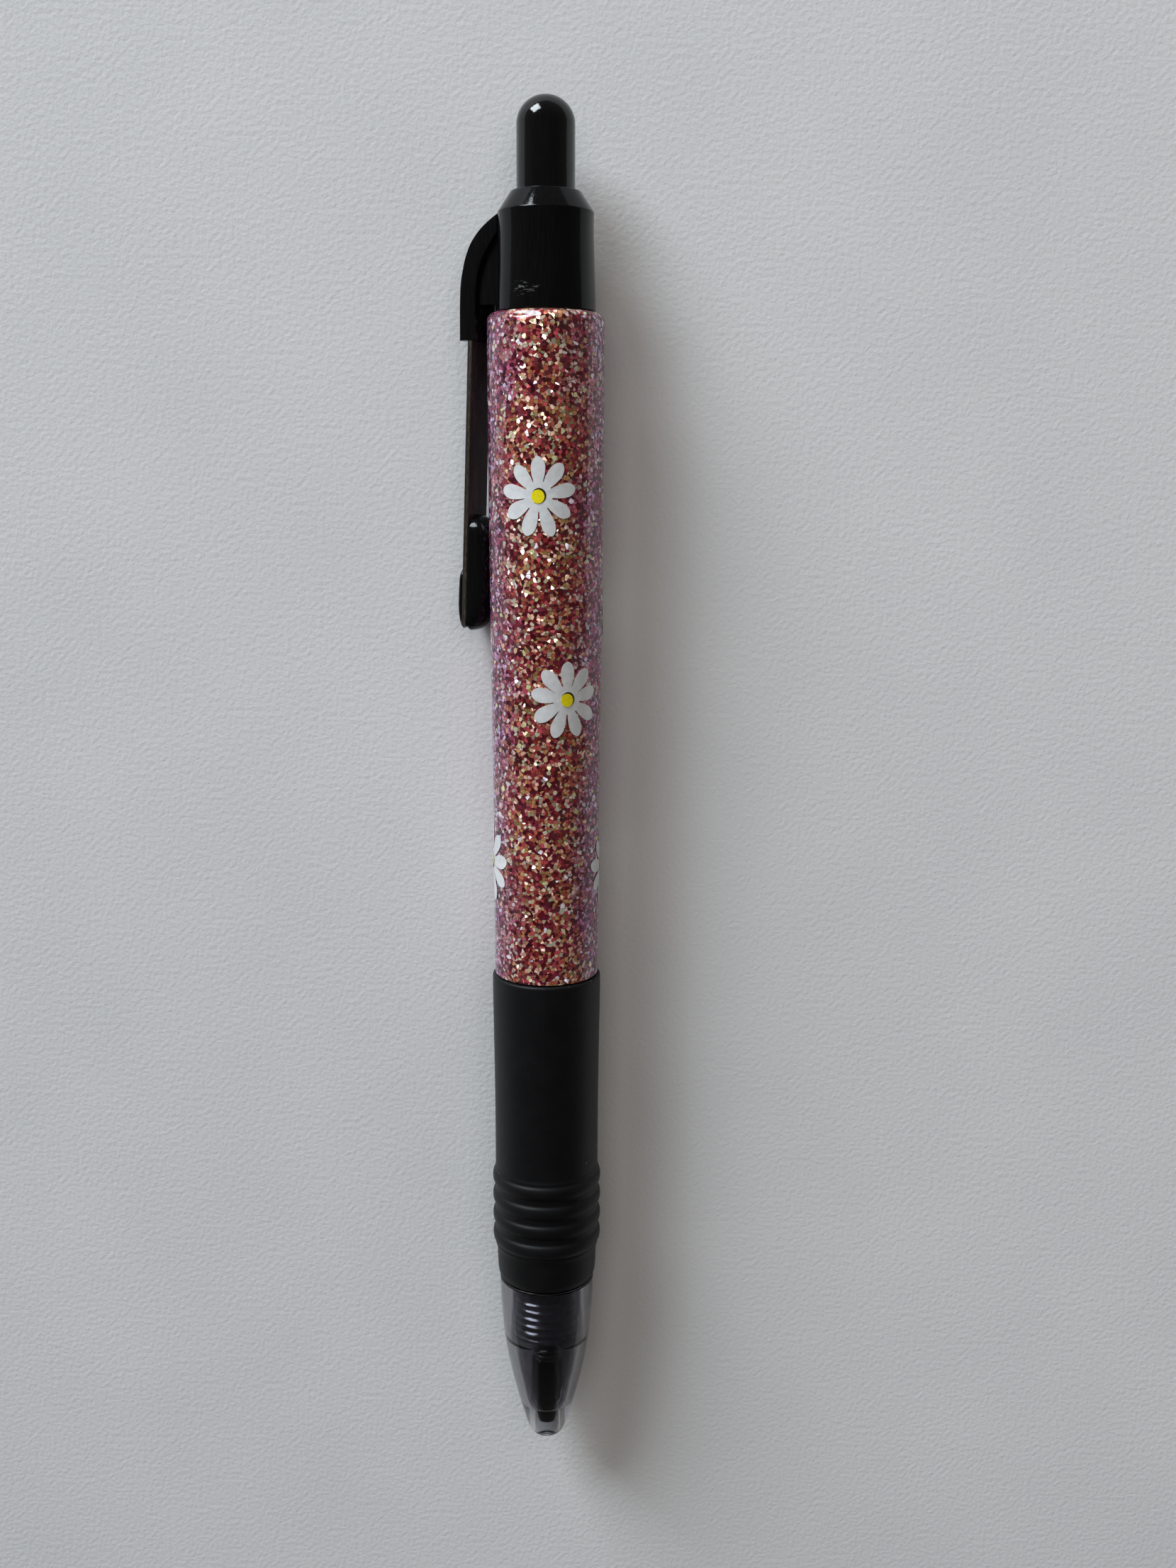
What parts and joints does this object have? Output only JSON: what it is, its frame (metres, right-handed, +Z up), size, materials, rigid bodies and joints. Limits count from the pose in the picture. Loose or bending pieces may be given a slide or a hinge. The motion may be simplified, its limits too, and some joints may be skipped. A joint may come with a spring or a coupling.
{
  "type": "retractable gel pen",
  "caption": "Click-action gel pen with a domed push button, spring clip, glitter resin sleeve, ribbed rubber grip and smoke-clear screw-off nose.",
  "frame": {"origin": "on the table under the middle of the pen's bounding box", "axes": "+Y along the pen from its nose to its push button, +Z up from the table it lies on, the clip low on the -X side"},
  "size_m": [0.0156, 0.144, 0.0121],
  "materials": {
    "black_gloss": "moulded gloss black with fine scuffs",
    "black_satin": "moulded satin black",
    "white_plastic": "moulded white acetal",
    "clear_plastic": "clear polypropylene",
    "glitter_resin": "clear-coated resin full of wine, gold and violet glitter flakes",
    "daisy_white": "white film under clear resin",
    "daisy_yellow": "yellow film under clear resin",
    "grip_rubber": "matte soft-touch rubber",
    "smoke_plastic": "clear smoke-tinted plastic",
    "strip_metal": "black coated spring strip with bare cut edges",
    "spring_steel": "drawn spring wire",
    "nickel_silver": "turned metal point",
    "ball_carbide": "polished ball",
    "seal_wax": "black wax bead",
    "ink": "black gel ink",
    "grease": "clear follower grease"
  },
  "bodies": {
    "barrel": {"barrel_tube": "black_satin", "resin_sleeve": "glitter_resin", "grip_sleeve": "grip_rubber", "clip_cap": "black_gloss", "cam_guide": "white_plastic", "return_spring": "spring_steel", "daisy_1_petals": "daisy_white", "daisy_1_centre": "daisy_yellow", "daisy_2_petals": "daisy_white", "daisy_2_centre": "daisy_yellow", "daisy_3_petals": "daisy_white", "daisy_3_centre": "daisy_yellow", "daisy_4_petals": "daisy_white", "daisy_4_centre": "daisy_yellow", "daisy_5_petals": "daisy_white", "daisy_5_centre": "daisy_yellow"},
    "button": {"plunger": "black_gloss"},
    "refill": {"refill_tube": "clear_plastic", "refill_ink": "ink", "refill_follower": "grease", "refill_tail_plug": "white_plastic", "refill_adaptor": "clear_plastic", "refill_point": "nickel_silver", "writing_ball": "ball_carbide", "tip_seal": "seal_wax"},
    "rotor": {"rotor_cam": "white_plastic"},
    "clip": {"clip_strip": "strip_metal", "clip_pad": "black_satin"},
    "nose": {"nose_cone": "smoke_plastic"}
  },
  "joints": [
    {"name": "plunger_press", "type": "slide", "parent": "barrel", "child": "button", "axis": [0, -1, 0], "range_m": [0, 0.005], "stiffness_N_per_m": 300, "springref_m": -0.003},
    {"name": "refill_advance", "type": "slide", "parent": "barrel", "child": "refill", "axis": [0, -1, 0], "range_m": [0, 0.005], "deforming": ["return_spring"]},
    {"name": "rotor_index", "type": "hinge", "parent": "refill", "child": "rotor", "pos_m": [0.00176, 0.036, 0.00595], "axis": [0, -1, 0], "range_deg": [0, 45.2]},
    {"name": "clip_flex", "type": "hinge", "parent": "barrel", "child": "clip", "pos_m": [-0.00514, 0.049, 0.00281], "axis": [0.4147, 0, -0.91], "range_deg": [0, 5], "stiffness_Nm_per_rad": 0.3, "springref_deg": -2.86},
    {"name": "nose_removal", "type": "slide", "parent": "barrel", "child": "nose", "axis": [0, -1, 0], "range_m": [0, 0.024]}
  ],
  "couplings": [
    {"joint": "refill_advance", "follows": "plunger_press", "ratio": 1},
    {"joint": "rotor_index", "follows": "plunger_press", "rad_per_m": 157}
  ]
}
